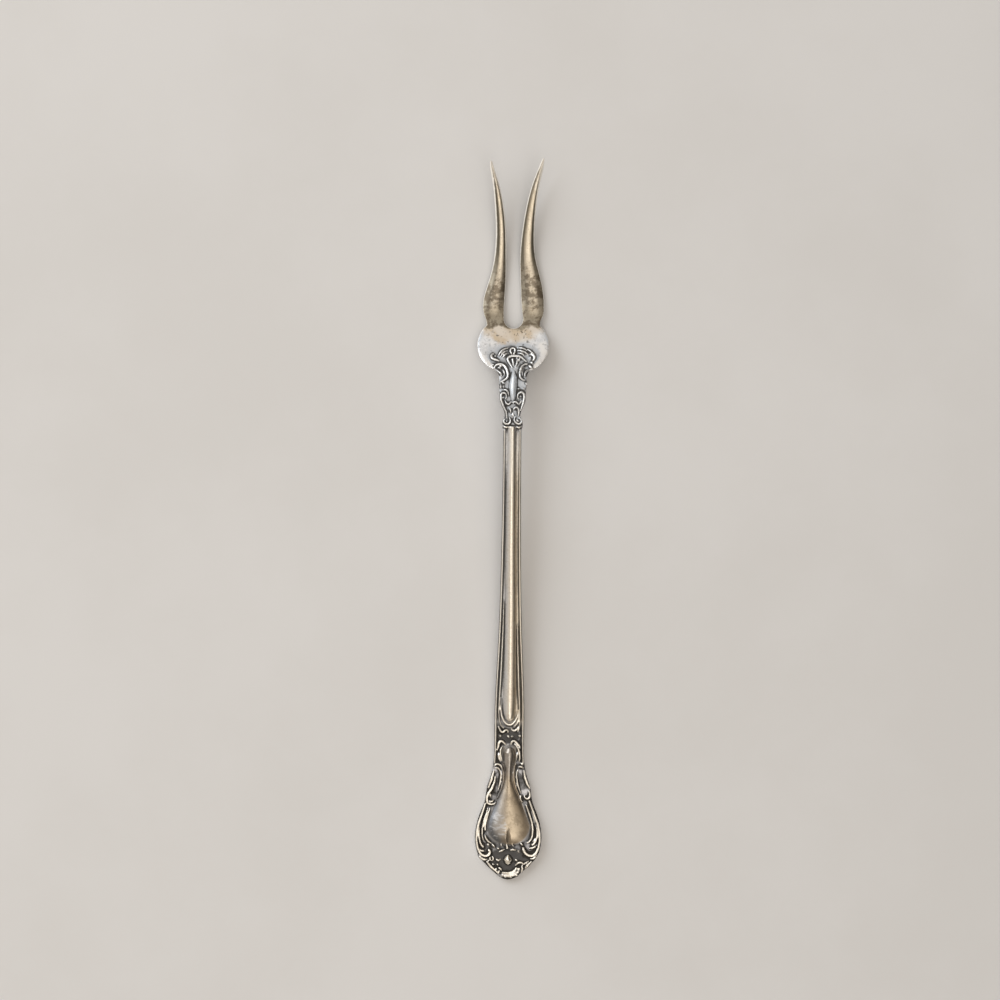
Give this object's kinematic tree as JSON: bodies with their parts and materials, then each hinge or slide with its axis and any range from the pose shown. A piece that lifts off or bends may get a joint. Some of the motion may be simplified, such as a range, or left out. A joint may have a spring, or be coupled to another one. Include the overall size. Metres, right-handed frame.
{
  "type": "cocktail fork",
  "caption": "Slim cocktail or pickle fork: long fluted handle with scroll relief and a plain drop, rounded shoulder plate and splayed, rising tines.",
  "frame": {"origin": "below the middle of the overall length, on the plane that the back of the handle end and the heel rest on", "axes": "+Y from the butt towards the tine tips, +Z out of the ornamented face, +X to the right seen from above"},
  "size_m": [0.015, 0.15, 0.0075],
  "materials": {
    "silver": "polished silver on the ridges, dark tarnish in the recesses"
  },
  "bodies": {
    "root": {"fork": "silver"}
  },
  "joints": []
}
